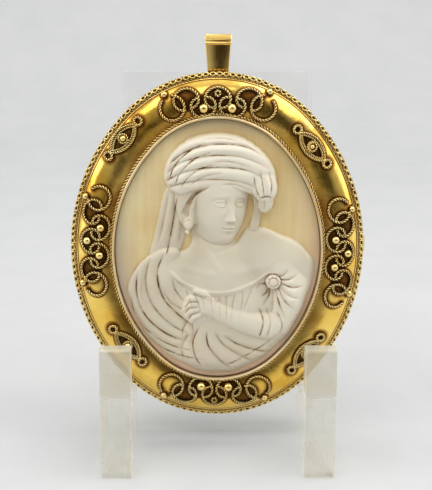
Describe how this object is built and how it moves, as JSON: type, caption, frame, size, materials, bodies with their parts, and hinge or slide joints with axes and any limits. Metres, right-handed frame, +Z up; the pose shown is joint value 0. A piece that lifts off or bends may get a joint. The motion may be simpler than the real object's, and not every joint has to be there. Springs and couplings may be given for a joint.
{
  "type": "cameo pendant on clear display stand",
  "caption": "Oval shell cameo in a domed gold border with twisted-wire scrolls and a strap bail, leaning on a clear easel stand.",
  "frame": {"origin": "centre of the footprint, on the table", "axes": "+Z up, the pendant faces -Y, +X to its right as seen from the front"},
  "size_m": [0.0538, 0.029, 0.0747],
  "materials": {
    "gold": "polished gold with dark patina in the recesses",
    "shell": "satin carved shell, ivory figure on a beige ground",
    "pin_gold": "polished gold",
    "clear_plastic": "clear, polished faces"
  },
  "bodies": {
    "root": {"frame": "gold", "cameo": "shell", "brooch_pin": "pin_gold", "stand": "clear_plastic"}
  },
  "joints": []
}
